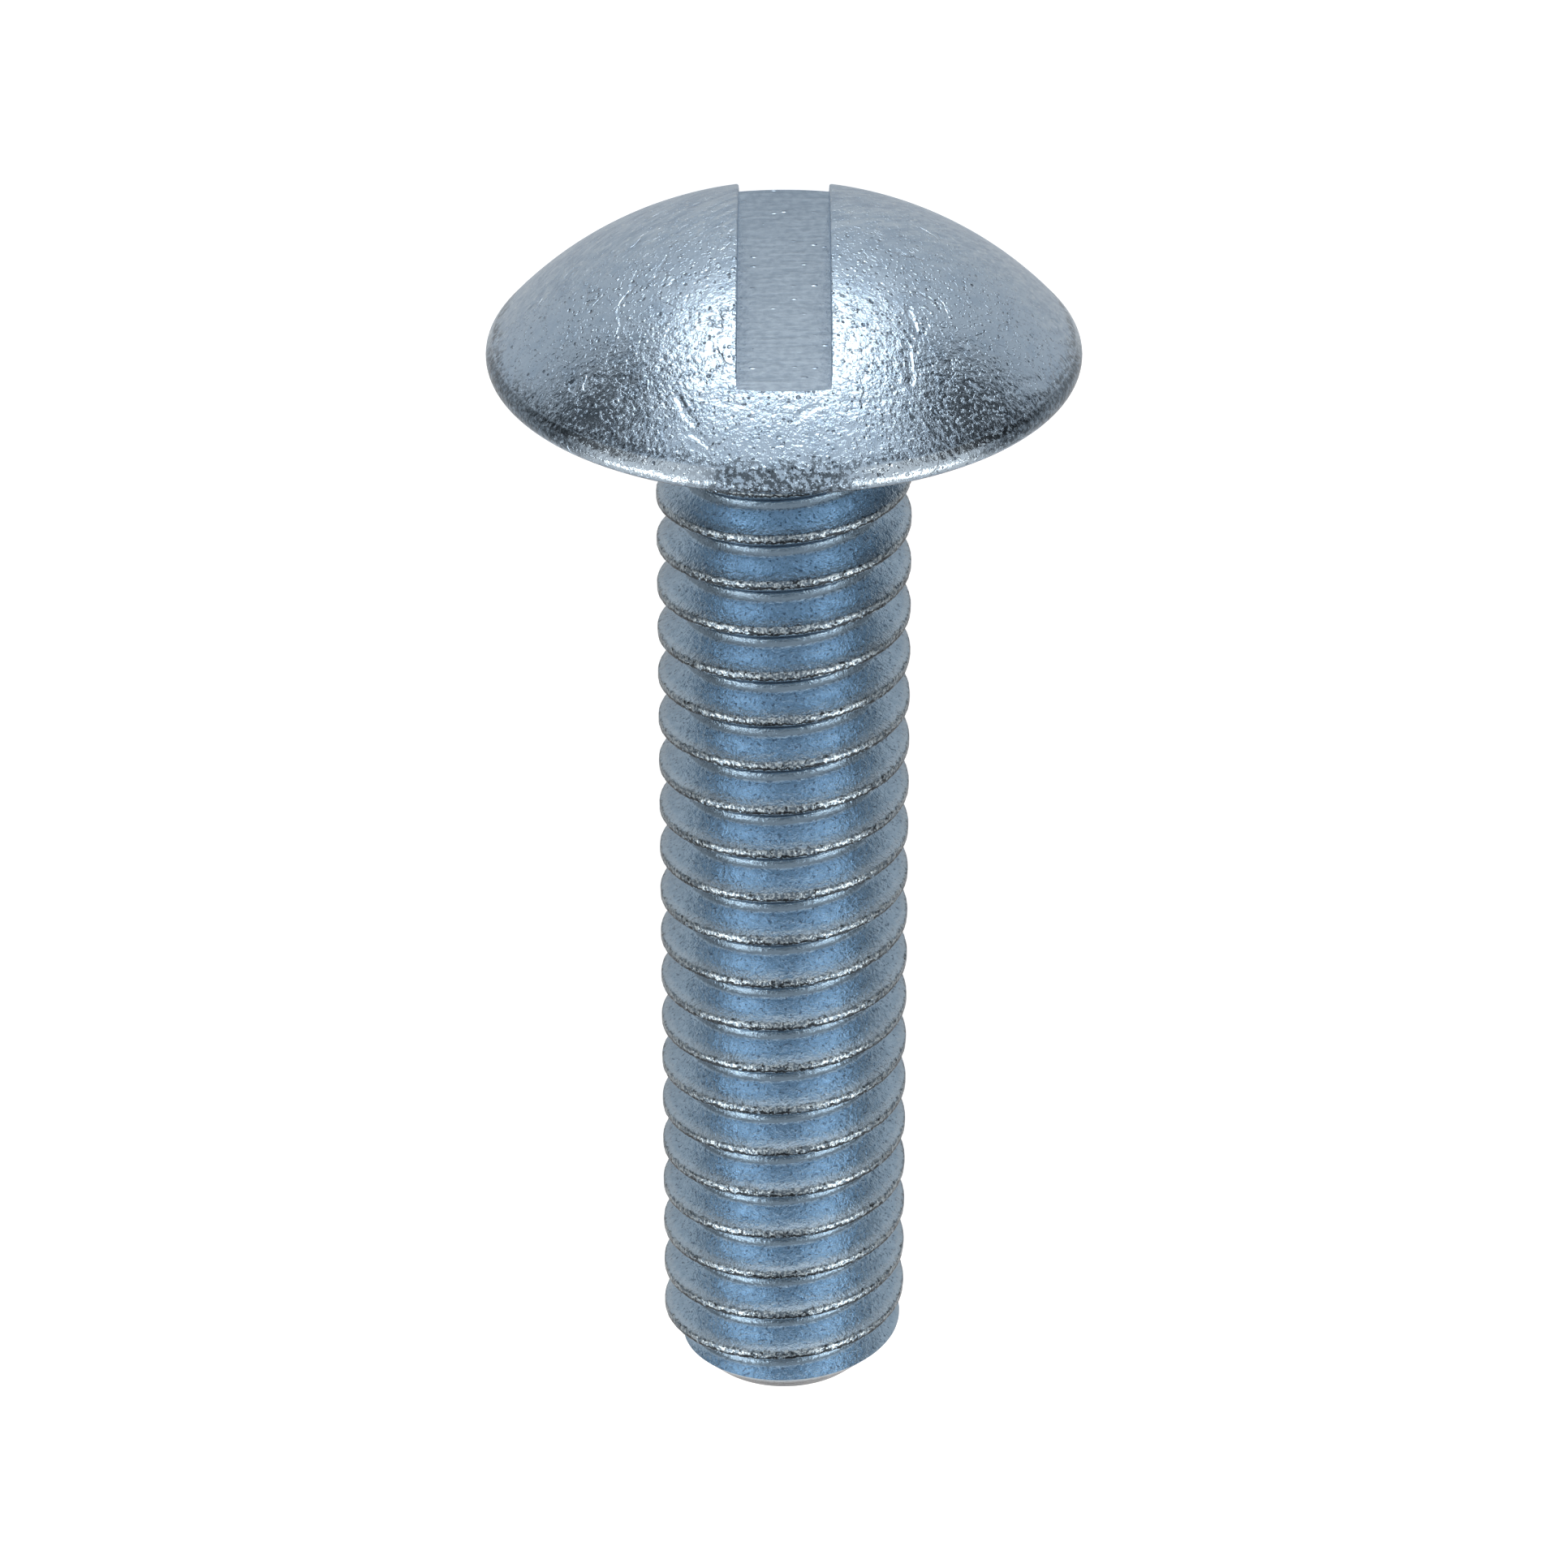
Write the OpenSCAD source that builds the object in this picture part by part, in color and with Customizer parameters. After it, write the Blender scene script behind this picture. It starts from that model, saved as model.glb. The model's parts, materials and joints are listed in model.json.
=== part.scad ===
// Slotted truss head machine screw, lying on its side as it comes to rest.
// The screw is described upright: its axis is Z, its bearing face lies at zero and its point is down.
// The last module lays it on the floor, on the rim of its head and on a crest near its point.

/* [Head] */
// Diameter across the rim
head_d = 14.6; // [13:0.1:17]
// Radius of the domed top
dome_r = 9.45; // [9:0.05:13]
// Radius of the rounded rim, which runs from the dome into the bearing face
edge_r = 0.35; // [0.2:0.05:0.6]

/* [Slot] */
// Width of the driving slot
slot_w = 2.25; // [1:0.05:3]
// Depth of the driving slot below the top of the dome
slot_depth = 1.9; // [0.8:0.1:2.2]

/* [Neck] */
// Length of the plain neck under the head
neck_len = 0.9; // [0.7:0.1:2.5]
// Diameter of the plain neck, which is that of the rolled blank
neck_d = 5.6; // [5.4:0.1:6]
// Radius of the fillet between the neck and the bearing face
neck_fillet = 0.4; // [0.1:0.05:0.5]

/* [Thread] */
// Length from the bearing face to the end of the point
length = 29.05; // [12:0.05:50]
// Outer diameter of the thread
thread_d = 6.35; // [6.1:0.05:6.6]
// Advance of the thread in one turn
pitch = 1.27; // [1.2:0.01:1.5]
// Width of the flat on a crest
crest_w = 0.22; // [0.12:0.01:0.3]
// Width of the flat at a root
root_w = 0.26; // [0.16:0.01:0.36]
// Height above the end of the point of the crest that faces +X
crest_start = 0.71; // [0:0.01:1.2]
// Length over which the thread rises out of the neck
fade_len = 0.8; // [0.6:0.1:2]

/* [Point] */
// Diameter of the flat end
point_d = 4.4; // [3.6:0.1:4.8]
// Angle of the chamfer from the axis
chamfer_angle = 45; // [30:1:55]

/* [Hidden] */

// Neck form: straight, then flared by its fillet, and sunk into the head
neck_r = neck_d / 2;
fillet_steps = 4;
neck_sink = 0.5;
neck_outline = [
    for (turn = [0 : 90 / fillet_steps : 90])
        [neck_fillet * (sin(turn) - 1), neck_r + neck_fillet * (1 - cos(turn))],
    [neck_sink, neck_r + neck_fillet],
];

// Thread form
steps_per_turn = 44;
rows_per_turn = 4;
flank_angle = 30;
flank_tan = tan(flank_angle);
thread_r = thread_d / 2;
thread_depth = (pitch - crest_w - root_w) / 2 / flank_tan;
root_r = thread_r - thread_depth;
thread_low = -length;
thread_high = -neck_len;
first_crest = thread_low + crest_start - 2 * pitch;
turns = ceil((thread_high - first_crest) / pitch) + 2;
thread_rows = turns * rows_per_turn;
rows = thread_rows + len(neck_outline);

// Head form: the rim's circle touches the dome inside and the bearing face above.
head_r = head_d / 2;
rim_x = head_r - edge_r;
rim_z = edge_r;
dome_drop = sqrt(pow(dome_r - edge_r, 2) - pow(rim_x, 2));
dome_z = rim_z - dome_drop;
head_h = dome_z + dome_r;
// The dome meets the rim on the ray from the dome's centre through the rim's, which ends past both.
ray_x = 2 * rim_x;
ray_z = dome_z + 2 * dome_drop;
slot_floor = head_h - slot_depth;
curve_fn = 160;
overshoot = 1;

// Point form
point_r = point_d / 2;
chamfer_tan = tan(chamfer_angle);

// Radius that the chamfer allows at a height
function chamfer_r(z) = point_r + (max(z, thread_low) - thread_low) * chamfer_tan;

// Share of the full thread form at a height, nothing at the neck and all of it below the fade
function thread_share(z) = min(1, max(0, (-neck_len - z) / fade_len));

// A point of the thread's outline as [height, radius], kept between the ends of the thread
function outline_point(z, r) =
    z <= thread_low ? [thread_low, point_r]
    : z >= thread_high ? [thread_high, neck_r]
    : [z, neck_r + (min(r, chamfer_r(z)) - neck_r) * thread_share(z)];

// Radius at which a flank leaves the chamfer, where side is 1 towards the head and -1 towards the point
function cut_r(crest, side) =
    let (reach = crest - thread_low + side * (crest_w / 2 + thread_r * flank_tan))
    min(thread_r, max(root_r, (point_r + reach * chamfer_tan) / (1 + side * flank_tan * chamfer_tan)));

// Point where a flank ends at its crest, cut back where the chamfer passes
function crest_point(crest, side) =
    let (r = cut_r(crest, side))
    outline_point(crest + side * (crest_w / 2 + (thread_r - r) * flank_tan), r);

// The four points of one turn, from the root below the crest to the root above it
function turn_points(crest) = [
    outline_point(crest - (pitch - root_w) / 2, root_r),
    crest_point(crest, -1),
    crest_point(crest, 1),
    outline_point(crest + (pitch - root_w) / 2, root_r),
];

// The whole outline at one step around the axis, from the point up through the neck
function step_outline(step) = [
    for (turn = [0 : turns - 1])
        each turn_points(first_crest + pitch * (turn + step / steps_per_turn)),
    each neck_outline,
];

// Index of a point, where the outline after the last step is the first one, with its thread one turn up
function at(step, row) =
    step < steps_per_turn ? step * rows + row
    : row < thread_rows ? min(thread_rows - 1, row + rows_per_turn)
    : row;

// Outline at the step that faces down when the screw lies
down_step = steps_per_turn / 4;
down_outline = step_outline(down_step);

// Tilt at which the floor touches both the rim's circle and a point of the thread's outline
function tilt_at(p) =
    let (
        run = rim_z - p[0],
        rise = rim_x - p[1]
    )
    atan2(rise, run) + asin(edge_r / norm([run, rise]));

// The screw comes to rest on the rim and on the first point of the thread that meets the floor.
lay_angle = min([for (p = down_outline) tilt_at(p)]);
lift = rim_x * cos(lay_angle) - rim_z * sin(lay_angle) + edge_r;
slot_edge_r = sqrt(pow(dome_r, 2) - pow(slot_w / 2, 2));
head_reach = dome_z * cos(lay_angle) + slot_edge_r;
point_reach = length * cos(lay_angle) + point_r * sin(lay_angle);

// Right-handed thread with its core and the neck, from the flat end up into the head
module shank() {
    points = [
        for (step = [0 : steps_per_turn - 1])
            let (angle = 360 * step / steps_per_turn)
            for (p = step_outline(step))
                [p[1] * cos(angle), p[1] * sin(angle), p[0]]
    ];
    wall = [
        for (step = [0 : steps_per_turn - 1])
            for (row = [0 : rows - 2])
                each [
                    [at(step, row), at(step, row + 1), at(step + 1, row + 1)],
                    [at(step, row), at(step + 1, row + 1), at(step + 1, row)],
                ]
    ];
    low_end = [for (step = [0 : steps_per_turn - 1]) at(step, 0)];
    high_end = [for (step = [steps_per_turn - 1 : -1 : 0]) at(step, rows - 1)];
    polyhedron(points = points, faces = concat(wall, [low_end, high_end]), convexity = 10);
}

// Half section of the head: the dome, the rounded rim and the flat bearing face
module head_section() {
    intersection() {
        translate([0, dome_z])
            circle(r = dome_r, $fn = curve_fn);
        polygon([
            [0, 0],
            [rim_x, 0],
            [rim_x, rim_z],
            [ray_x, ray_z],
            [0, ray_z],
        ]);
    }
    translate([rim_x, rim_z])
        circle(r = edge_r, $fn = curve_fn);
}

// Slot cut straight across the dome, which leaves the rim whole
module slot() {
    translate([-slot_w / 2, -head_d, slot_floor])
        cube([slot_w, 2 * head_d, slot_depth + overshoot]);
}

// The screw upright, with its bearing face at zero
module upright_screw() {
    difference() {
        rotate_extrude($fn = curve_fn)
            head_section();
        slot();
    }
    shank();
}

// The screw at rest on its side, with its head towards +Y and the slot's plane upright
module screw() {
    color([0.58, 0.66, 0.74])
        translate([0, (point_reach - head_reach) / 2, lift])
            rotate([lay_angle - 90, 0, 0])
                upright_screw();
}

screw();
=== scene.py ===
"""The looks of a slotted truss head machine screw in zinc-plated steel, lying on its side."""
import json
import math
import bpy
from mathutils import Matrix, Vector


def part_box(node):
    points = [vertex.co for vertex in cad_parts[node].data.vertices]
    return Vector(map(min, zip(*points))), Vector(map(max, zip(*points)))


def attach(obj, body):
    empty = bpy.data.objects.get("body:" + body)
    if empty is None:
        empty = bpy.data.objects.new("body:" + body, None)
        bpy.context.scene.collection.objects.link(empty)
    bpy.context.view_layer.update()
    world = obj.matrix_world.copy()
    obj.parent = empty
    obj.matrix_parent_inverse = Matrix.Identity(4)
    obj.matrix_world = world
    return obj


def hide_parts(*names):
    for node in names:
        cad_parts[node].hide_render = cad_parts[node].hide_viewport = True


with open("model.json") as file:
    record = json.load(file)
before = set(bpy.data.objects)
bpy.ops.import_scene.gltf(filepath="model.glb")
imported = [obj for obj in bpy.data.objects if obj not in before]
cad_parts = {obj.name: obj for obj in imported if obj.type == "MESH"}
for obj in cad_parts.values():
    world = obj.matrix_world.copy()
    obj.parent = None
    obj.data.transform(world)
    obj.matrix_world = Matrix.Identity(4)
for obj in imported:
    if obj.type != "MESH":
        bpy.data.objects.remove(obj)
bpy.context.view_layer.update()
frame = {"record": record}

from types import SimpleNamespace

import bmesh
import bpy
from mathutils import Matrix, Vector, noise

MM = 0.001

# Sizes of the screw in millimetres, upright: its axis is Z and its bearing face lies at zero.
DOME_R = 9.45
EDGE_R = 0.35
SLOT_W = 2.25
SLOT_EDGE_R = 0.06
NECK_LEN = 0.9
NECK_R = 2.8
NECK_FILLET = 0.4
LENGTH = 29.05
PITCH = 1.27
CREST_W = 0.22
ROOT_W = 0.26
CREST_EDGE_R = 0.08
ROOT_FILLET = 0.18
CREST_START = 0.71
FADE_LEN = 0.8
POINT_R = 2.2
CHAMFER_TAN = math.tan(math.radians(45))
FLANK_TAN = math.tan(math.radians(30))
NICK_DEPTH = 0.014
NICK_SHIFT = 0.018

# Steps round the axis, as many for the head as for the thread, so that they join at the neck
STEPS = 168

# Points nearer to each other than this are one
WELD = 0.001


def mount(name):
    """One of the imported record's mounts."""
    return next(m for m in frame["record"]["mounts"] if m["name"] == name)


# What the frame says of the screw's place and sizes
low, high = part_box("screw")
axis = Vector(mount("driving_slot")["axis"])
slot_middle = Vector(mount("driving_slot")["pos_m"])
slot_floor = (slot_middle - Vector(mount("bearing_face")["pos_m"])).dot(axis) / MM
bearing_middle = slot_middle - axis * slot_floor * MM
lay_turn = math.atan2(axis.z, axis.y) - math.pi / 2
laid = Matrix.Translation(bearing_middle) @ Matrix.Rotation(lay_turn, 4, "X") @ Matrix.Scale(MM, 4)
thread_r = mount("thread")["dims"]["r_mm"]
head_r = (high.x - low.x) / 2 / MM

# Sizes that follow
rim_x = head_r - EDGE_R
dome_drop = math.sqrt((DOME_R - EDGE_R) ** 2 - rim_x ** 2)
dome_z = EDGE_R - dome_drop
rim_turn = math.degrees(math.atan2(dome_drop, rim_x))
root_r = thread_r - (PITCH - CREST_W - ROOT_W) / 2 / FLANK_TAN
neck_joint = -(NECK_LEN + NECK_FILLET) / 2


def radius_of(point):
    """How far a point lies from the axis."""
    return math.hypot(point.x, point.y)


def set_radius(vert, radius):
    """Moves a point straight out from the axis or in towards it."""
    share = radius / radius_of(vert.co)
    vert.co.x *= share
    vert.co.y *= share


def arc(centre_x, centre_z, radius, start, stop, steps):
    """Points along an arc in the XZ plane, with its angles in degrees from X towards Z."""
    angles = [math.radians(start + (stop - start) * i / steps) for i in range(steps + 1)]
    return [
        Vector((centre_x + radius * math.cos(a), 0, centre_z + radius * math.sin(a)))
        for a in angles]


def between(start, stop, steps):
    """Points along a straight line, without its ends."""
    return [start.lerp(stop, i / steps) for i in range(1, steps)]


def outline(mesh, points):
    """A chain of edges through the points."""
    verts = [mesh.verts.new(p) for p in points]
    return verts + [mesh.edges.new(pair) for pair in zip(verts, verts[1:])]


def cut(mesh, faces, place, normal, **clear):
    """Cuts these faces along a plane, and clears one side of it if told to."""
    # A dictionary keeps each part once, in the order of the faces
    parts = dict.fromkeys(part for face in faces for part in (face, *face.edges, *face.verts))
    bmesh.ops.bisect_plane(
        mesh, geom=list(parts), dist=WELD / 10, plane_co=place, plane_no=normal, **clear)


def rim_edges(mesh, height):
    """Open edges that lie at a height."""
    return [
        e for e in mesh.edges
        if len(e.link_faces) == 1 and all(abs(v.co.z - height) < WELD for v in e.verts)]


def crest_to_root():
    """Half the outline of one turn of thread, from its crest up to the middle of the root."""
    crest_corner = CREST_W / 2 - CREST_EDGE_R * FLANK_TAN
    crest = arc(thread_r - CREST_EDGE_R, crest_corner, CREST_EDGE_R, 0, 60, steps=3)
    root_corner = (PITCH - ROOT_W) / 2 + ROOT_FILLET * FLANK_TAN
    root = arc(root_r + ROOT_FILLET, root_corner, ROOT_FILLET, 240, 180, steps=3)
    return crest + between(crest[-1], root[0], steps=2) + root + [Vector((root_r, 0, PITCH / 2))]


def thread():
    """The thread on its core, from below the point up past the neck."""
    upper = crest_to_root()
    lower = [Vector((p.x, 0, -p.z)) for p in reversed(upper)]
    spare = 2
    turns = math.ceil((LENGTH - CREST_START) / PITCH) + 2 * spare
    crests = [Vector((0, 0, CREST_START - LENGTH + PITCH * (k - spare))) for k in range(turns)]
    mesh = bmesh.new()
    profile = outline(mesh, [p + crest for crest in crests for p in (lower + upper)[1:]])
    bmesh.ops.spin(
        mesh, geom=profile, axis=(0, 0, 1), cent=(0, 0, 0), angle=math.tau,
        steps=STEPS, dvec=(0, 0, PITCH / STEPS))
    bmesh.ops.remove_doubles(mesh, verts=mesh.verts, dist=WELD)
    return mesh


def roughen_crests(mesh):
    """Nicks along the crests, where the rolled metal has closed unevenly."""
    for vert in mesh.verts:
        depth = thread_r - radius_of(vert.co)
        if depth < 2 * CREST_EDGE_R:
            nick = noise.noise(vert.co * 5) + 0.6 * noise.noise(vert.co * 13)
            shift = noise.noise(vert.co * 9 + Vector((7, 3, 5)))
            set_radius(vert, thread_r - depth - NICK_DEPTH * abs(nick))
            vert.co.z += NICK_SHIFT * shift


def fade_into_neck(mesh):
    """Takes the thread down to the plain neck over its last stretch."""
    for vert in mesh.verts:
        share = min(1, max(0, (-NECK_LEN - vert.co.z) / FADE_LEN))
        set_radius(vert, NECK_R + (radius_of(vert.co) - NECK_R) * share)


def past_chamfer(vert):
    """How far a point stands out of the chamfer's cone."""
    return radius_of(vert.co) - POINT_R - (vert.co.z + LENGTH) * CHAMFER_TAN


def chamfer_point(mesh):
    """Cuts the faces where they pass through the chamfer's cone, and lays the rest on it."""
    crossings = []
    for edge in list(mesh.edges):
        start, stop = (past_chamfer(v) for v in edge.verts)
        if start * stop < 0:
            crossings.append(bmesh.utils.edge_split(edge, edge.verts[0], start / (start - stop))[1])
    bmesh.ops.connect_verts(mesh, verts=crossings)
    for vert in mesh.verts:
        over = past_chamfer(vert)
        if over > 0:
            set_radius(vert, radius_of(vert.co) - over)


def shank():
    """The threaded shank, open at the neck and closed at the point."""
    mesh = thread()
    roughen_crests(mesh)
    cut(mesh, mesh.faces[:], (0, 0, -LENGTH), (0, 0, -1), clear_outer=True)
    fade_into_neck(mesh)
    chamfer_point(mesh)
    for vert in mesh.verts:
        vert.co.z = min(max(vert.co.z, -LENGTH), neck_joint)
    bmesh.ops.remove_doubles(mesh, verts=mesh.verts, dist=WELD)
    bmesh.ops.edgeloop_fill(mesh, edges=rim_edges(mesh, -LENGTH))
    return mesh


def head():
    """The neck, the bearing face, the rounded rim and the dome, open at the neck."""
    points = arc(NECK_R + NECK_FILLET, -NECK_FILLET, NECK_FILLET, 180, 90, steps=5)
    points += between(points[-1], Vector((rim_x, 0, 0)), steps=6)
    points += arc(rim_x, EDGE_R, EDGE_R, -90, rim_turn, steps=14)
    points += arc(0, dome_z, DOME_R, rim_turn, 90, steps=56)[1:]
    mesh = bmesh.new()
    bmesh.ops.spin(
        mesh, geom=outline(mesh, points), axis=(0, 0, 1), cent=(0, 0, 0), angle=math.tau,
        steps=STEPS, use_merge=True)
    bmesh.ops.remove_doubles(mesh, verts=mesh.verts, dist=WELD)
    return mesh


def in_slot(face, margin=0.0):
    """Whether a face of the dome lies between the slot's walls."""
    middle = face.calc_center_median()
    return abs(middle.x) < SLOT_W / 2 + margin and middle.z > slot_floor - margin


def cut_slot(mesh):
    """Opens the slot straight across the dome, with its upper edges slightly rounded."""
    turns = [math.radians(t) for t in (0, 30, 60, 90)]
    for side in (-1, 1):
        for turn in turns:
            place = side * (SLOT_W / 2 + SLOT_EDGE_R * (1 - math.cos(turn)))
            cut(mesh, [f for f in mesh.faces if in_slot(f, margin=0.4)], (place, 0, 0), (1, 0, 0))
    cut(mesh, [f for f in mesh.faces if in_slot(f, margin=0.4)], (0, 0, slot_floor), (0, 0, 1))
    bmesh.ops.delete(mesh, geom=[f for f in mesh.faces if in_slot(f)], context="FACES")
    for vert in mesh.verts:
        inside = SLOT_W / 2 + SLOT_EDGE_R - abs(vert.co.x)
        if 0 < inside <= SLOT_EDGE_R + WELD and vert.co.z > slot_floor:
            drop = SLOT_EDGE_R - math.sqrt(max(0, SLOT_EDGE_R ** 2 - inside ** 2))
            share = min(1, (vert.co.z - slot_floor) / (4 * SLOT_EDGE_R))
            vert.co.z -= drop * share


def close_slot(mesh):
    """Fills the slot's two walls and its floor."""
    open_edges = [
        e for e in mesh.edges
        if len(e.link_faces) == 1 and e.verts[0].co.z > slot_floor - WELD]
    floor_edges = rim_edges(mesh, slot_floor)
    walls = [e for e in open_edges if e not in floor_edges]
    chords = []
    for side in (-1, 1):
        top = [e for e in walls if e.verts[0].co.x * side > 0]
        verts = [v for e in top for v in e.verts]
        corners = [max(verts, key=lambda v: v.co.y), min(verts, key=lambda v: v.co.y)]
        chords.append(mesh.edges.new(corners))
        bmesh.ops.edgeloop_fill(mesh, edges=top + chords[-1:])
    bmesh.ops.edgeloop_fill(mesh, edges=floor_edges + chords)
    for edge in open_edges + chords:
        edge.smooth = False


def whole_screw():
    """The head and the shank joined at the neck into one closed skin."""
    mesh = head()
    cut_slot(mesh)
    close_slot(mesh)
    lower = shank()
    data = bpy.data.meshes.new("lower")
    lower.to_mesh(data)
    mesh.from_mesh(data)
    bpy.data.meshes.remove(data)
    bmesh.ops.bridge_loops(mesh, edges=rim_edges(mesh, neck_joint) + rim_edges(mesh, -NECK_FILLET))
    bmesh.ops.recalc_face_normals(mesh, faces=mesh.faces)
    return mesh


class Socket:
    """An output of a shader node. Arithmetic on it adds Math nodes, from either side."""

    def __init__(self, finish, output):
        self.finish = finish
        self.output = output

    def __add__(self, other):
        return self.finish.maths("ADD", self, other)

    def __sub__(self, other):
        return self.finish.maths("SUBTRACT", self, other)

    def __mul__(self, other):
        return self.finish.maths("MULTIPLY", self, other)

    def __truediv__(self, other):
        return self.finish.maths("DIVIDE", self, other)

    def __rsub__(self, other):
        return self.finish.maths("SUBTRACT", other, self)

    def __abs__(self):
        return self.finish.maths("ABSOLUTE", self)

    __radd__ = __add__
    __rmul__ = __mul__


class Finish:
    """The node tree of one material, which grows by a call for each node."""

    def __init__(self, name):
        self.material = bpy.data.materials.new(name)
        self.material.use_nodes = True
        self.tree = self.material.node_tree
        self.tree.nodes.clear()

    def node(self, kind, settings=None, sockets=None, output=0):
        """Adds a node, makes its settings, then fills its sockets by name or number."""
        made = self.tree.nodes.new(kind)
        for name, value in (settings or {}).items():
            setattr(made, name, value)
        for name, value in (sockets or {}).items():
            if isinstance(value, Socket):
                self.tree.links.new(value.output, made.inputs[name])
            else:
                made.inputs[name].default_value = value
        return Socket(self, made.outputs[output]) if made.outputs else made

    def maths(self, operation, *values):
        """Works out a value from others."""
        return self.node("ShaderNodeMath", {"operation": operation}, dict(enumerate(values)))

    def vector(self, operation, *values, output=0):
        """Works out a vector, or with output 1 a value, from vectors."""
        sockets = dict(enumerate(values))
        return self.node("ShaderNodeVectorMath", {"operation": operation}, sockets, output)

    def ramp(self, value, start, stop):
        """Rises smoothly from 0 at start to 1 at stop, or falls where stop is the lower."""
        sockets = {"Value": value, "From Min": start, "From Max": stop}
        return self.node("ShaderNodeMapRange", {"interpolation_type": "SMOOTHSTEP"}, sockets)

    def mix(self, share, first, second):
        """Blends two colours."""
        return self.node("ShaderNodeMix", {"data_type": "RGBA"}, {0: share, 6: first, 7: second}, 2)

    def highest(self, first, *others):
        """The highest of several values."""
        for other in others:
            first = self.maths("MAXIMUM", first, other)
        return first

    def turned(self, place, turn, length=1):
        """The place in a pattern turned by degrees, with its marks so many times longer."""
        sockets = {"Vector": place, "Rotation": (0, 0, math.radians(turn)), "Scale": (length, 1, 1)}
        return self.node("ShaderNodeMapping", {"vector_type": "TEXTURE"}, sockets)

    def coordinates(self, place):
        """X, Y and Z of a place, each a value."""
        return [self.node("ShaderNodeSeparateXYZ", {}, {0: place}, name) for name in "XYZ"]

    def cloud(self, place, scale, detail=2.0, roughness=0.5, distortion=0.0):
        """Noise with a scale in patches a millimetre."""
        return self.node("ShaderNodeTexNoise", {}, {
            "Vector": place, "Scale": scale, "Detail": detail,
            "Roughness": roughness, "Distortion": distortion})

    def wander(self, place, scale):
        """A smoothly varying offset, from 0 to 1 each way."""
        return self.node("ShaderNodeTexNoise", {}, {"Vector": place, "Scale": scale}, "Color")

    def cells(self, place, scale, feature="F1", output="Distance"):
        """Cells with a scale in cells a millimetre."""
        sockets = {"Vector": place, "Scale": scale}
        return self.node("ShaderNodeTexVoronoi", {"feature": feature}, sockets, output)

    def upright(self):
        """Places in millimetres on the upright screw, from the bearing face's middle."""
        place = self.node("ShaderNodeTexCoord", output="Object")
        return self.node("ShaderNodeMapping", {"vector_type": "TEXTURE"}, {
            "Vector": place, "Location": bearing_middle,
            "Rotation": (lay_turn, 0, 0), "Scale": (MM, MM, MM)})

    def metal(self, colour, roughness, height):
        """Ends the tree in a metal with these looks, where height is relief in millimetres."""
        bump = self.node("ShaderNodeBump", {}, {"Height": height, "Distance": MM, "Strength": 1.0})
        shader = self.node("ShaderNodeBsdfPrincipled", {}, {
            "Base Color": colour, "Roughness": roughness, "Metallic": 1.0, "Normal": bump})
        self.node("ShaderNodeOutputMaterial", {}, {"Surface": shader})
        return self.material


def pits(finish, place, scale, share):
    """Round pits of uneven depth, in a share of the cells."""
    near = finish.cells(place, scale)
    chance = finish.cells(place, scale, output="Color")
    kept = finish.node("ShaderNodeSeparateColor", {}, {0: chance})
    return finish.ramp(near, 0.42, 0.1) * finish.ramp(kept, 1 - share, 1.0)


def scratches(finish, place, turn, scale, share):
    """Fine straight marks in one direction, kept only in patches."""
    streak = finish.cloud(finish.turned(place, turn, 16), scale, 1.0)
    patch = finish.cloud(finish.turned(place, turn, 3), scale / 9, 1.0)
    return finish.ramp(streak, 0.66, 0.72) * finish.ramp(patch, 1 - share, 1.1 - share)


def worms(finish, place, scale, share):
    """Short curved dents along the borders of cells."""
    bent = finish.vector("ADD", place, finish.wander(place, 1.3))
    border = finish.cells(bent, scale, "DISTANCE_TO_EDGE")
    patch = finish.cloud(place, scale * 1.1)
    return finish.ramp(border, 0.05, 0.0) * finish.ramp(patch, 1 - share, 1.06 - share)


def gouge(finish, place, start, stop, width):
    """A softly edged scratch between two places seen from above the head."""
    start, stop = Vector((*start, 0)), Vector((*stop, 0))
    along = (stop - start).normalized()
    across = Vector((-along.y, along.x, 0))
    offset = finish.vector("SUBTRACT", place, (start + stop) / 2)
    run = abs(finish.vector("DOT_PRODUCT", offset, along, output=1)) - (stop - start).length / 2
    beyond = finish.maths("MAXIMUM", run, 0)
    aside = finish.vector("DOT_PRODUCT", offset, across, output=1)
    return finish.ramp(finish.maths("SQRT", aside * aside + beyond * beyond), width, 0.3 * width)


# The dome's deepest scratches: both ends as seen from above the head, and half the width
GOUGES = {
    "near left": ((-2.5, -5.5), (-2.1, -6.1), 0.11),
    "near left, lower": ((-2.2, -6.2), (-1.7, -6.5), 0.1),
    "long left": ((-3.5, -1.4), (-3.9, -2.6), 0.08),
    "long left, lower": ((-3.9, -2.6), (-3.9, -3.3), 0.08),
    "upper left": ((-2.8, -1.2), (-3.1, -1.9), 0.07),
    "far left": ((-4.8, -1.1), (-4.8, -1.9), 0.07),
    "right of the slot": ((3.0, -3.0), (3.1, -3.6), 0.12),
    "right of the slot, lower": ((2.9, -4.0), (3.0, -5.0), 0.12),
    "below the slot": ((0.3, -6.2), (0.8, -5.9), 0.1),
    "right of the slot's end": ((1.4, -5.8), (2.9, -5.4), 0.07),
    "far right": ((5.3, -4.0), (6.1, -3.0), 0.08),
}

# How far the gouges wander from a straight line, and how deep they are for their half width
GOUGE_BEND = 0.15
GOUGE_DEPTH = 0.18


def deep_scratches(finish, place):
    """How deep the gouges are at each place."""
    reach, middle = [2 * GOUGE_BEND] * 3, [-GOUGE_BEND] * 3
    bend = finish.vector("MULTIPLY_ADD", finish.wander(place, 1.6), reach, middle)
    bent = finish.vector("ADD", place, bend)
    deepest = 0
    for start, stop, width in GOUGES.values():
        deepest = finish.highest(deepest, width * gouge(finish, bent, start, stop, width))
    return GOUGE_DEPTH * deepest


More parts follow.
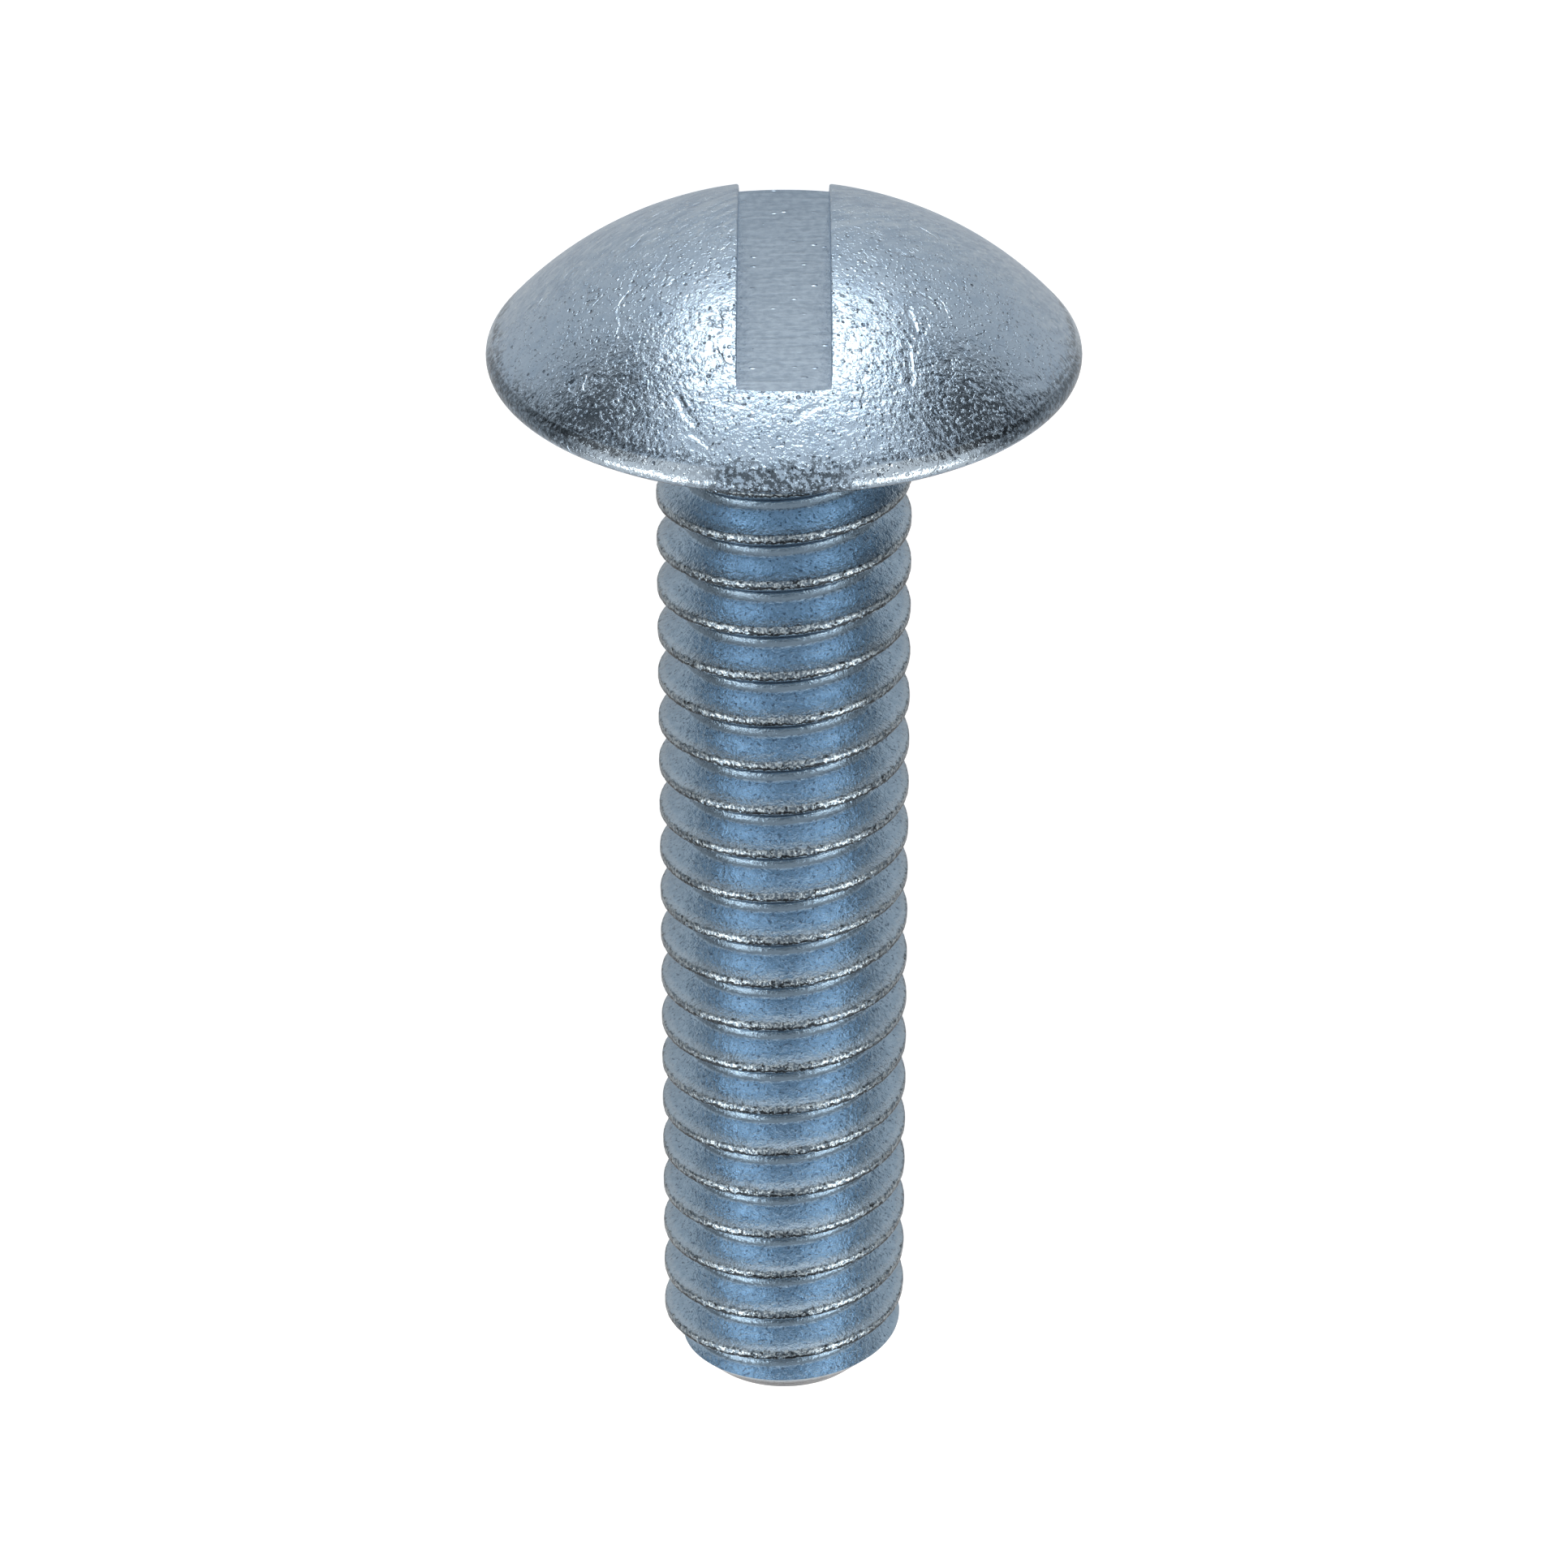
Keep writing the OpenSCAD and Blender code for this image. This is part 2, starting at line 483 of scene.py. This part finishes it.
# Colours of the dome's plating, with painted shade and a painted highlight among them
DOME_BRIGHT = (0.345, 0.44, 0.545, 1)
DOME_STAINED = (0.29, 0.385, 0.495, 1)
DOME_BRUSH_DARK = (0.265, 0.35, 0.455, 1)
DOME_BUFFED_AND_HIGHLIGHT = (0.55, 0.62, 0.67, 1)
DOME_PIT_SHADE = (0.07, 0.1, 0.14, 1)
DOME_FLECK_AND_SHADE = (0.03, 0.04, 0.05, 1)
DOME_EDGE_SHADE = (0.06, 0.08, 0.1, 1)


def dome_zones(finish, place):
    """The stretches of the dome that are handled differently, each rising from 0 to 1."""
    across, depth_in, level = finish.coordinates(place)
    aside = abs(across)
    out = finish.vector("LENGTH", finish.vector("MULTIPLY", place, (1, 1, 0)), output=1)
    worn = finish.ramp(depth_in + 2.2 * finish.cloud(place, 0.5), 1.8, -0.8)
    inner = finish.ramp(out + 1.2 * finish.cloud(place, 0.8), 8, 5)
    front = finish.ramp(depth_in + 1.6 * finish.cloud(place, 0.8), 0.5, -4.5)
    band = finish.ramp(out + 0.6 * finish.cloud(place, 2, 3.0), 7.15, 7.4)
    # Painted shade: dark flecks gather in the middle of the rim.
    middle_shade = finish.ramp(abs(across + 0.1) + finish.cloud(place, 1.5), 2.9, 1.7)
    return SimpleNamespace(
        worn=worn,
        smooth=1 - worn,
        pitted=worn * finish.highest(inner, finish.ramp(aside, 4.5, 2)),
        front=front * (0.45 + 0.55 * finish.ramp(aside, 5, 2.5)),
        beside=finish.ramp(aside, 4.2, 5.6) * finish.ramp(depth_in, 0.5, -1.5),
        band=band * finish.ramp(out, 7.16, 7.1),
        lip=finish.ramp(out, 7.12, 7.17) * finish.ramp(level, 0.15, 0.22),
        under=finish.ramp(level + 0.08 * finish.cloud(place, 4), 0.17, 0.12),
        middle_shade=middle_shade * finish.ramp(out, 6.95, 7.15))


def dome_marks(finish, place):
    """The marks that show in more than one of the dome's relief, colour and roughness."""
    return SimpleNamespace(
        stain=finish.ramp(finish.cloud(place, 2.3, 4.0, 0.65), 0.42, 0.7),
        small=pits(finish, place, 8.5, 0.35),
        large=pits(finish, finish.turned(place, 31), 5.5, 0.2),
        brushed=finish.cloud(finish.turned(place, 40, 10), 5.5, 3.0, 0.7))


def dome_relief(finish, place, zone, mark):
    """Height of the dome's texture: grain, crumpled skin, pits, beads and scratches."""
    beads = pits(finish, finish.turned(place, 57), 6, 0.45)
    specks = finish.ramp(finish.cloud(place, 10, 2.0), 0.56, 0.7)
    grain = finish.cloud(place, 8.0, 3.0, 0.6)
    crumple = finish.cloud(place, 4.5, 3.0, 0.55, 0.4)
    swell = finish.cloud(place, 1.6, 2.0)
    lines = scratches(finish, place, 24, 9, 0.48) + scratches(finish, place, -52, 9, 0.46)
    lines = lines + scratches(finish, place, 78, 8, 0.44)
    dents = worms(finish, place, 0.9, 0.4)
    height = (0.003 + 0.008 * zone.worn + 0.008 * zone.front + 0.02 * zone.band) * grain
    height = height + (0.006 + 0.026 * zone.front) * crumple + 0.016 * swell
    height = height + 0.014 * zone.smooth * mark.brushed + 0.012 * specks
    height = height + zone.pitted * (0.028 * beads - 0.026 * mark.small - 0.034 * mark.large)
    return height - 0.008 * lines - 0.02 * dents - deep_scratches(finish, place)


def dome_colour(finish, place, zone, mark):
    """Colour of the dome, from its stained plating to the painted shade under its lip, with painted
    shade in its pits and a painted highlight along its lip.
    """
    flecks = finish.ramp(finish.cloud(place, 8, 4.0, 0.7), 0.45, 0.53)
    # Dark flecks in the band near the rim; on the lip at the sides and in the rim's middle they are
    # painted shade.
    flecks_and_shade = finish.highest(0.8 * zone.band + (0.12 + 0.7 * zone.beside) * zone.lip, zone.middle_shade)
    # Painted shade: the worn dome's pits are darkened in colour.
    pit_shade = zone.worn * finish.ramp(finish.highest(mark.small, mark.large), 0.3, 0.75)
    glitter = 0.75 * finish.ramp(finish.cloud(place, 6, 3.0, 0.7), 0.56, 0.67)
    buffed = zone.smooth * finish.highest(0.4 * finish.ramp(mark.brushed, 0.46, 0.66), glitter)
    # Painted highlight: the rim's lip is paled at the front and back; the rest is buffed wear along
    # brush lines and bright specks.
    buffed_and_highlight = 0.5 * zone.lip * (1 - zone.middle_shade) * (1 - zone.beside) + buffed
    # Painted shade under the rim's lip, and on the lip at the sides.
    edge = finish.highest(0.8 * zone.under, 0.5 * zone.lip * zone.beside)
    colour = finish.mix(mark.stain, DOME_BRIGHT, DOME_STAINED)
    colour = finish.mix(zone.smooth * finish.ramp(mark.brushed, 0.52, 0.36), colour, DOME_BRUSH_DARK)
    colour = finish.mix(buffed_and_highlight, colour, DOME_BUFFED_AND_HIGHLIGHT)
    colour = finish.mix(0.8 * pit_shade, colour, DOME_PIT_SHADE)
    colour = finish.mix(0.85 * flecks_and_shade * flecks, colour, DOME_FLECK_AND_SHADE)
    return finish.mix(edge, colour, DOME_EDGE_SHADE)


def dome_zinc():
    """Bright zinc over pitted, scratched metal, crumpled at the near rim, brushed at the far side."""
    finish = Finish("dome_zinc")
    place = finish.upright()
    zone = dome_zones(finish, place)
    mark = dome_marks(finish, place)
    roughness = 0.23 - 0.05 * mark.stain + 0.1 * zone.smooth
    return finish.metal(
        dome_colour(finish, place, zone, mark), roughness, dome_relief(finish, place, zone, mark))


# Colours of the slot's plating
SLOT_DULL = (0.31, 0.405, 0.51, 1)
SLOT_BRIGHT = (0.465, 0.575, 0.695, 1)


def slot_zinc():
    """The slot's floor and walls, with fine grain across it and a few raised specks."""
    finish = Finish("slot_zinc")
    place = finish.upright()
    grain = finish.cloud(finish.turned(place, 4, 9), 5, 5.0, 0.7)
    mottle = finish.cloud(place, 4.5, 4.0, 0.6)
    specks = pits(finish, finish.turned(place, 0, 1.6), 6.5, 0.12)
    height = 0.02 * grain + 0.018 * mottle + 0.024 * specks
    streaks = finish.ramp(0.5 * grain + 0.5 * mottle, 0.37, 0.63)
    colour = finish.mix(streaks, SLOT_DULL, SLOT_BRIGHT)
    return finish.metal(colour, 0.2 + 0.06 * mottle, height)


# Colours of the thread's plating, with painted shade and a painted glint among them
THREAD_BRIGHT = (0.345, 0.465, 0.585, 1)
THREAD_STAINED = (0.27, 0.38, 0.49, 1)
THREAD_SPECK = (0.07, 0.1, 0.15, 1)
THREAD_SHOULDER = (0.45, 0.53, 0.6, 1)
THREAD_VALLEY = (0.145, 0.2, 0.255, 1)
THREAD_GLINT = (0.22, 0.285, 0.34, 1)
THREAD_WORN_DARK = (0.11, 0.145, 0.18, 1)
THREAD_WORN_PALE = (0.33, 0.385, 0.42, 1)
THREAD_CHIP_AND_SHADE = (0.02, 0.025, 0.03, 1)
THREAD_NECK_SHADE = (0.08, 0.105, 0.135, 1)
THREAD_POINT_SHADE = (0.03, 0.04, 0.055, 1)


def thread_zones(finish, place):
    """The stripes that wind along the thread and its two ends, most of them with ragged edges."""
    x, y, level = finish.coordinates(place)
    turn = finish.maths("ARCTAN2", y, x) / math.tau
    phase = (level + (LENGTH - CREST_START)) / PITCH - turn + 0.5
    over_crest = (finish.maths("FRACT", phase) - 0.5) * PITCH
    ragged = finish.cloud(place, 7, 4.0, 0.7) - 0.5
    crest_edge = CREST_W / 2
    root_edge = (PITCH - ROOT_W) / 2
    return SimpleNamespace(
        crest=finish.ramp(abs(over_crest - 0.03) + 0.15 * ragged, crest_edge + 0.01, crest_edge - 0.03),
        shoulder=finish.ramp(abs(over_crest - 0.15) + 0.2 * ragged, 0.1, 0.02),
        root=finish.ramp(abs(over_crest) + 0.07 * ragged, root_edge - 0.03, root_edge + 0.02),
        glint=finish.ramp(abs(over_crest + PITCH / 2 - 0.05), 0.04, 0.01),
        # Painted shade: a ragged dark line along each crest's lower edge.
        seam=finish.ramp(abs(over_crest + 0.07 + 0.35 * ragged), 0.055, 0.02),
        lip=finish.ramp(abs(over_crest + 0.15), 0.05, 0.02),
        # Painted shade in the root's upper corner.
        corner=finish.ramp(abs(over_crest + root_edge) + 0.08 * ragged, 0.05, 0.01),
        neck=finish.ramp(level, -NECK_LEN - 0.45, -NECK_LEN + 0.1),
        end=finish.ramp(level + 0.2 * ragged, -LENGTH + 0.6, -LENGTH + 0.3))


def thread_zinc():
    """The same zinc on the flanks, rubbed along the crests, with painted shade in a black line below
    each crest, on the neck and at the point's end.
    """
    finish = Finish("thread_zinc")
    place = finish.upright()
    zone = thread_zones(finish, place)
    mottle = finish.cloud(place, 5.5, 4.0, 0.7)
    fine = finish.cloud(place, 13, 2.0)
    chips = zone.crest * finish.ramp(finish.cloud(place, 8, 3.0, 0.7), 0.57, 0.63)
    valley = finish.mix(zone.glint, THREAD_VALLEY, THREAD_GLINT)
    rubbed = finish.mix(finish.ramp(fine, 0.42, 0.6), THREAD_WORN_DARK, THREAD_WORN_PALE)
    colour = finish.mix(finish.ramp(mottle, 0.35, 0.65), THREAD_BRIGHT, THREAD_STAINED)
    colour = finish.mix(0.75 * finish.ramp(fine, 0.57, 0.69), colour, THREAD_SPECK)
    colour = finish.mix(0.5 * zone.shoulder, colour, THREAD_SHOULDER)
    colour = finish.mix(zone.root, colour, valley)
    colour = finish.mix(finish.highest(zone.crest, zone.lip), colour, rubbed)
    # Painted shade along each crest's lower edge and in the root's corners, with dark chips worn into
    # the crests.
    colour = finish.mix(finish.highest(zone.seam, chips, 0.4 * zone.corner), colour, THREAD_CHIP_AND_SHADE)
    # Painted shade on the neck under the head.
    colour = finish.mix(zone.neck, colour, THREAD_NECK_SHADE)
    # Painted shade on the point's chamfered end.
    colour = finish.mix(zone.end, colour, THREAD_POINT_SHADE)
    height = 0.034 * mottle + 0.01 * fine - 0.01 * zone.seam
    return finish.metal(colour, 0.12 + 0.09 * mottle, height)


# The screw's finishes, in the order of its material slots
FINISHES = (dome_zinc, slot_zinc, thread_zinc)

# The slot's floor and walls are single faces, with more corners than this, unlike the dome's
MANY_CORNERS = 20

# Edges bent more than this look crisp. The slot's floor meets the dome at 37 degrees.
CRISP_ANGLE = math.radians(33)


def finish_of(face):
    """The finish of a face, by where it lies on the upright screw."""
    if face.calc_center_median().z < -WELD:
        return thread_zinc
    return slot_zinc if len(face.verts) > MANY_CORNERS else dome_zinc


def make_screw():
    """Puts the whole screw in its place in the frame, with its three finishes."""
    mesh = whole_screw()
    for face in mesh.faces:
        face.smooth = True
        face.material_index = FINISHES.index(finish_of(face))
    bmesh.ops.transform(mesh, matrix=laid, verts=mesh.verts)
    data = bpy.data.meshes.new("plated_screw")
    mesh.to_mesh(data)
    mesh.free()
    data.set_sharp_from_angle(angle=CRISP_ANGLE)
    for finish in FINISHES:
        data.materials.append(finish())
    piece = bpy.data.objects.new("plated_screw", data)
    bpy.context.scene.collection.objects.link(piece)
    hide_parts("screw")
    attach(piece, "root")
    return piece


# The stage: the floor's size in metres, the grey of its paper, its glow, and the lamps' colour
FLOOR_SIZE = 4.0
PAPER_GREY = 0.57
CAMERA_GLOW = 0.65
MIRROR_GLOW = 0.1
LAMP_WARM = (1, 0.97, 0.93)


def paper_of(finish, grey):
    """Dull paper of a grey."""
    return finish.node("ShaderNodeBsdfDiffuse", {}, {"Color": (grey, grey, grey, 1)})


def floor_white():
    """Pale paper that keeps soft shadows, with a glow that makes it white to the camera."""
    finish = Finish("floor_white")
    camera, glossy, through = (
        finish.node("ShaderNodeLightPath", output=f"Is {kind} Ray")
        for kind in ("Camera", "Glossy", "Transmission"))
    strength = camera * CAMERA_GLOW + finish.highest(glossy, through) * MIRROR_GLOW
    glow = finish.node("ShaderNodeEmission", {}, {"Color": (1, 1, 1, 1), "Strength": strength})
    both = finish.node("ShaderNodeAddShader", {}, {0: paper_of(finish, PAPER_GREY), 1: glow})
    finish.node("ShaderNodeOutputMaterial", {}, {"Surface": both})
    return finish.material


def make_floor():
    """Lays the paper under the screw."""
    mesh = bmesh.new()
    bmesh.ops.create_grid(mesh, x_segments=1, y_segments=1, size=FLOOR_SIZE / 2)
    data = bpy.data.meshes.new("floor")
    mesh.to_mesh(data)
    mesh.free()
    data.materials.append(floor_white())
    floor = bpy.data.objects.new("floor", data)
    bpy.context.scene.collection.objects.link(floor)


def aimed(place, target):
    """The turn of a lamp or camera at place that looks at the target."""
    return (Vector(target) - Vector(place)).to_track_quat("-Z", "Y").to_euler()


def softbox(name, place, target, width, height, radiance):
    """A rectangular, slightly warm lamp whose face shows this radiance, hidden from the camera."""
    lamp = bpy.data.lights.new(name, "AREA")
    lamp.color = LAMP_WARM
    lamp.shape = "RECTANGLE"
    lamp.size = width
    lamp.size_y = height
    lamp.energy = radiance * math.pi * width * height
    box = bpy.data.objects.new(name, lamp)
    box.location = place
    box.rotation_euler = aimed(place, target)
    box.visible_camera = False
    bpy.context.scene.collection.objects.link(box)


def card(name, start, stop, reach, grey):
    """A grey card that reaches from the line between two places, for the metal to mirror."""
    mesh = bmesh.new()
    edge = mesh.edges.new([mesh.verts.new(place) for place in (start, stop)])
    drawn = bmesh.ops.extrude_edge_only(mesh, edges=[edge])["geom"]
    corners = [part for part in drawn if isinstance(part, bmesh.types.BMVert)]
    bmesh.ops.translate(mesh, verts=corners, vec=reach)
    data = bpy.data.meshes.new(name)
    mesh.to_mesh(data)
    mesh.free()
    finish = Finish(name)
    finish.node("ShaderNodeOutputMaterial", {}, {"Surface": paper_of(finish, grey)})
    data.materials.append(finish.material)
    piece = bpy.data.objects.new(name, data)
    piece.visible_camera = False
    bpy.context.scene.collection.objects.link(piece)


def light_studio():
    """A white room with a low box beyond the head, one on each side of the point, and cards."""
    world = bpy.data.worlds.new("studio")
    world.use_nodes = True
    background = world.node_tree.nodes["Background"]
    background.inputs["Color"].default_value = (1, 1, 1, 1)
    background.inputs["Strength"].default_value = 1.0
    bpy.context.scene.world = world
    softbox(
        "head_box", (0, 0.052, 0.0128), (0, 0.012, 0.008),
        width=0.035, height=0.0255, radiance=3.9)
    for side, grey in ((-1, 0.12), (1, 0.06)):
        softbox(
            "point_box", (side * 0.065, -0.055, 0.05), (0, -0.004, 0.006),
            width=0.042, height=0.042, radiance=6.2)
        card("side_card", (side * 0.042, 0.02, 0), (side * 0.042, 0.07, 0), (0, 0, 0.034), grey)
        card("low_card", (side * 0.055, -0.03, 0), (side * 0.055, 0.012, 0), (0, 0, 0.018), 0.2)
    card("point_card", (-0.018, -0.075, 0), (0.018, -0.075, 0), (0, 0, 0.04), 0.12)
    card("high_card", (-0.012, -0.036, 0.066), (0.012, -0.036, 0.066), (0, -0.044, 0), 0.12)


# The camera: the photo's own view of the upright screw, in millimetres, and the metres that it sees
VIEW_HEIGHT = -11.925
VIEW_RISE = math.radians(29.94)
VIEW_DISTANCE = 163.9
VIEW_LENS = 148.0
SENSOR_WIDTH = 36
NEAREST = 0.01
FARTHEST = 10


def make_camera():
    """Looks at the screw's axis from beside and above its head, which is up in the picture."""
    target = laid @ Vector((0, 0, VIEW_HEIGHT))
    away = laid.to_3x3().normalized() @ Vector((0, -math.cos(VIEW_RISE), math.sin(VIEW_RISE)))
    data = bpy.data.cameras.new("camera")
    data.lens = VIEW_LENS
    data.sensor_width = SENSOR_WIDTH
    data.clip_start = NEAREST
    data.clip_end = FARTHEST
    camera = bpy.data.objects.new("camera", data)
    across = Vector((1, 0, 0))
    turn = Matrix((across, away.cross(across), away)).transposed().to_4x4()
    camera.matrix_world = Matrix.Translation(target + away * VIEW_DISTANCE * MM) @ turn
    bpy.context.scene.collection.objects.link(camera)
    bpy.context.scene.camera = camera


make_screw()
make_floor()
light_studio()
make_camera()
bpy.context.scene.view_settings.view_transform = "Standard"
